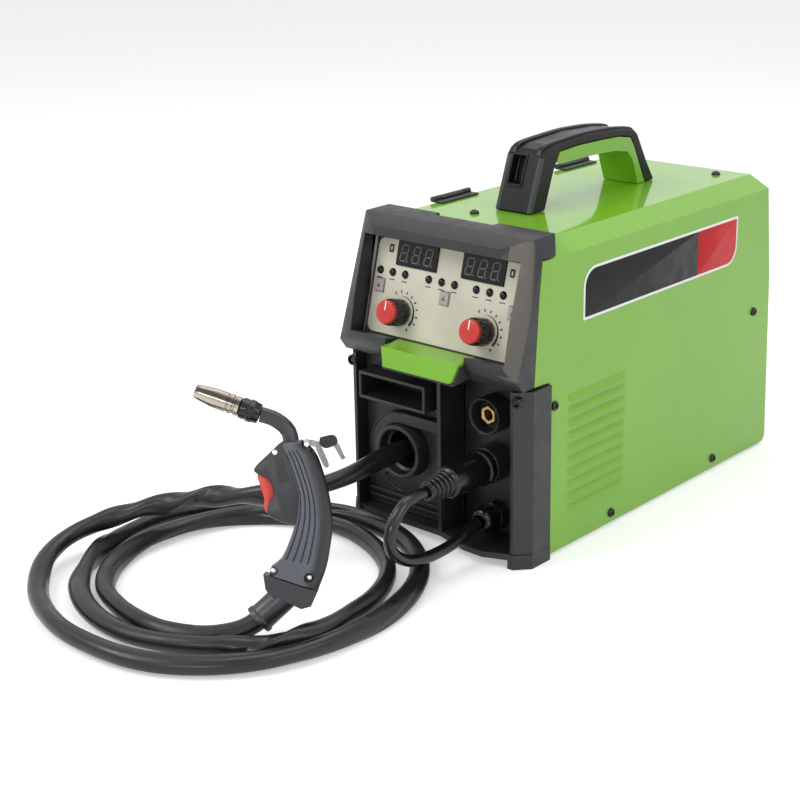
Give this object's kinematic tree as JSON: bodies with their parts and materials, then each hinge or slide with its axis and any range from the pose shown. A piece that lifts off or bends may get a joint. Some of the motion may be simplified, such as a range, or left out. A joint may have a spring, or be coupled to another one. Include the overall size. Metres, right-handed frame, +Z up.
{
  "type": "mig welding machine",
  "caption": "Compact inverter welder with a tilted control head, carry handle, side door over the wire bay, torch on a coiled lead and a polarity lead.",
  "frame": {"origin": "under the middle of the machine, at floor level, below the base tray", "axes": "+Z up, the control panel faces -Y, the louvred side is +X"},
  "size_m": [0.3061, 0.6913, 0.3096],
  "materials": {
    "green_paint": "gloss",
    "black_plastic": "fine texture",
    "beige_panel": "satin",
    "red_plastic": "satin",
    "grey_button": "satin",
    "display_lens": "gloss",
    "brass": "machined",
    "steel": "satin",
    "nickel": "nickel plated",
    "aluminium": "satin",
    "copper": "copper",
    "rubber": "matt",
    "green_board": "circuit board",
    "cord_sheath": "semi matt"
  },
  "bodies": {
    "machine": {"cover": "green_paint", "accent_trim": "green_paint", "handle_core": "green_paint", "hinge_front": "black_plastic", "hinge_rear": "black_plastic", "rear_panel": "black_plastic", "front_bezel": "black_plastic", "front_frame": "black_plastic", "port_housing": "black_plastic", "port_ring": "black_plastic", "storage_pocket": "black_plastic", "socket_panel": "black_plastic", "socket_upper": "black_plastic", "socket_lower": "black_plastic", "cable_gland": "black_plastic", "handle_cover": "black_plastic", "fan_frame": "black_plastic", "power_switch_housing": "black_plastic", "mains_gland": "black_plastic", "spool_hub": "black_plastic", "torch_shell_left": "black_plastic", "torch_shell_right": "black_plastic", "torch_neck": "black_plastic", "torch_collar": "black_plastic", "torch_flange": "black_plastic", "polarity_plug": "black_plastic", "control_panel": "beige_panel", "display_board": "display_lens", "base_tray": "steel", "divider_panel": "steel", "fan_guard": "steel", "feed_motor": "steel", "torch_hook": "steel", "heatsink": "aluminium", "feeder_plate": "aluminium", "socket_contact": "brass", "gas_inlet": "brass", "transformer": "copper", "contact_tip": "copper", "torch_nozzle": "nickel", "rear_foot_left": "rubber", "rear_foot_right": "rubber", "torch_strain_relief": "rubber", "main_board": "green_board", "polarity_lead": "cord_sheath", "torch_cable": "cord_sheath"},
    "side_door": {"side_door": "green_paint"},
    "door_latch": {"door_latch": "black_plastic"},
    "knob_left": {"knob_left": "black_plastic"},
    "knob_right": {"knob_right": "black_plastic"},
    "button_left": {"button_left": "grey_button"},
    "button_centre": {"button_centre": "grey_button"},
    "button_right": {"button_right": "grey_button"},
    "power_rocker": {"power_rocker": "red_plastic"},
    "fan_rotor": {"fan_rotor": "black_plastic"},
    "drive_roll": {"drive_roll": "steel"},
    "pressure_arm": {"pressure_arm": "black_plastic"},
    "pressure_roll": {"pressure_roll": "steel"},
    "wire_spool": {"wire_spool": "black_plastic"},
    "torch_trigger": {"torch_trigger": "red_plastic"}
  },
  "joints": [
    {"name": "side_door_hinge", "type": "hinge", "parent": "machine", "child": "side_door", "pos_m": [-0.0766, 0.022, 0.2576], "axis": [0, 1, 0], "range_deg": [0, 100]},
    {"name": "door_latch_turn", "type": "hinge", "parent": "side_door", "child": "door_latch", "pos_m": [-0.0915, 0.022, 0.038], "axis": [1, 0, 0], "range_deg": [-90, 0]},
    {"name": "knob_left_turn", "type": "hinge", "parent": "machine", "child": "knob_left", "pos_m": [-0.043, -0.16714, 0.18362], "axis": [0, -0.967, 0.2549], "range_deg": [-150, 150]},
    {"name": "knob_right_turn", "type": "hinge", "parent": "machine", "child": "knob_right", "pos_m": [0.043, -0.16714, 0.18362], "axis": [0, -0.967, 0.2549], "range_deg": [-150, 150]},
    {"name": "button_left_press", "type": "slide", "parent": "machine", "child": "button_left", "axis": [0, 0.967, -0.2549], "range_m": [0, 0.001], "stiffness_N_per_m": 300},
    {"name": "button_centre_press", "type": "slide", "parent": "machine", "child": "button_centre", "axis": [0, 0.967, -0.2549], "range_m": [0, 0.001], "stiffness_N_per_m": 300},
    {"name": "button_right_press", "type": "slide", "parent": "machine", "child": "button_right", "axis": [0, 0.967, -0.2549], "range_m": [0, 0.001], "stiffness_N_per_m": 300},
    {"name": "power_switch", "type": "hinge", "parent": "machine", "child": "power_rocker", "pos_m": [-0.046, 0.1715, 0.204], "axis": [1, 0, 0], "range_deg": [0, 16]},
    {"name": "fan_spin", "type": "hinge", "parent": "machine", "child": "fan_rotor", "pos_m": [0.042, 0.157, 0.15], "axis": [0, 1, 0], "continuous": true},
    {"name": "drive_roll_spin", "type": "hinge", "parent": "machine", "child": "drive_roll", "pos_m": [-0.036, -0.095, 0.0576], "axis": [1, 0, 0], "continuous": true},
    {"name": "pressure_arm_swing", "type": "hinge", "parent": "machine", "child": "pressure_arm", "pos_m": [-0.0255, -0.072, 0.092], "axis": [1, 0, 0], "range_deg": [-35, 0]},
    {"name": "pressure_roll_spin", "type": "hinge", "parent": "pressure_arm", "child": "pressure_roll", "pos_m": [-0.036, -0.095, 0.0814], "axis": [1, 0, 0], "continuous": true},
    {"name": "wire_spool_spin", "type": "hinge", "parent": "machine", "child": "wire_spool", "pos_m": [-0.05, 0.062, 0.128], "axis": [1, 0, 0], "continuous": true},
    {"name": "torch_trigger_pull", "type": "hinge", "parent": "machine", "child": "torch_trigger", "pos_m": [-0.00131, -0.35951, 0.11278], "axis": [0.6312, -0.6961, 0.342], "range_deg": [0, 8], "stiffness_Nm_per_rad": 0.4}
  ]
}
